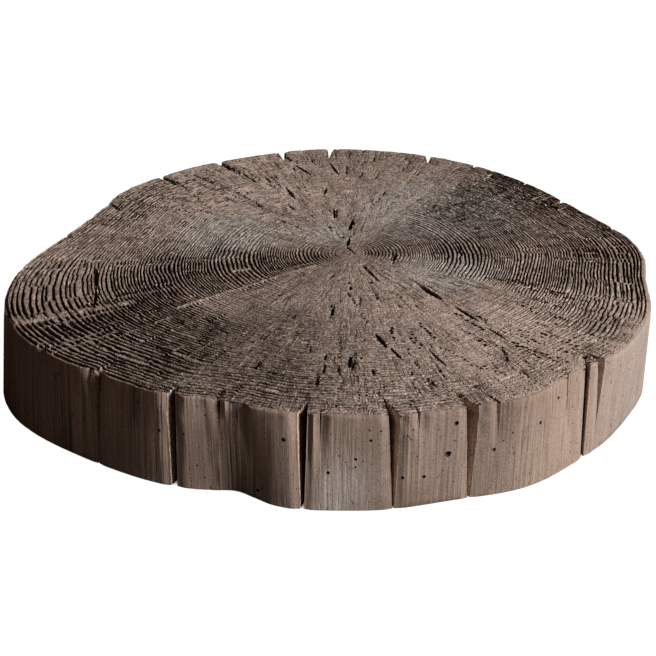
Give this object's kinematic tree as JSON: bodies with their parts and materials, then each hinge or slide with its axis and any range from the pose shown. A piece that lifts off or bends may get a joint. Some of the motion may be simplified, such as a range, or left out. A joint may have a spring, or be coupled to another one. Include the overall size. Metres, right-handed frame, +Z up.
{
  "type": "garden stepping stone",
  "caption": "Irregular round paver cast in concrete as a weathered slice of a log, with growth rings, drying checks and a split rim, laid flat to step on.",
  "frame": {"origin": "middle of the stone's box, on the underside", "axes": "+Z up out of the tread, -Y towards the front of the picture, +X to the picture's right"},
  "size_m": [0.4072, 0.417, 0.06],
  "materials": {
    "cast_concrete": "rough cast concrete tinted weathered brown"
  },
  "bodies": {
    "root": {"stepping_stone": "cast_concrete"}
  },
  "joints": []
}
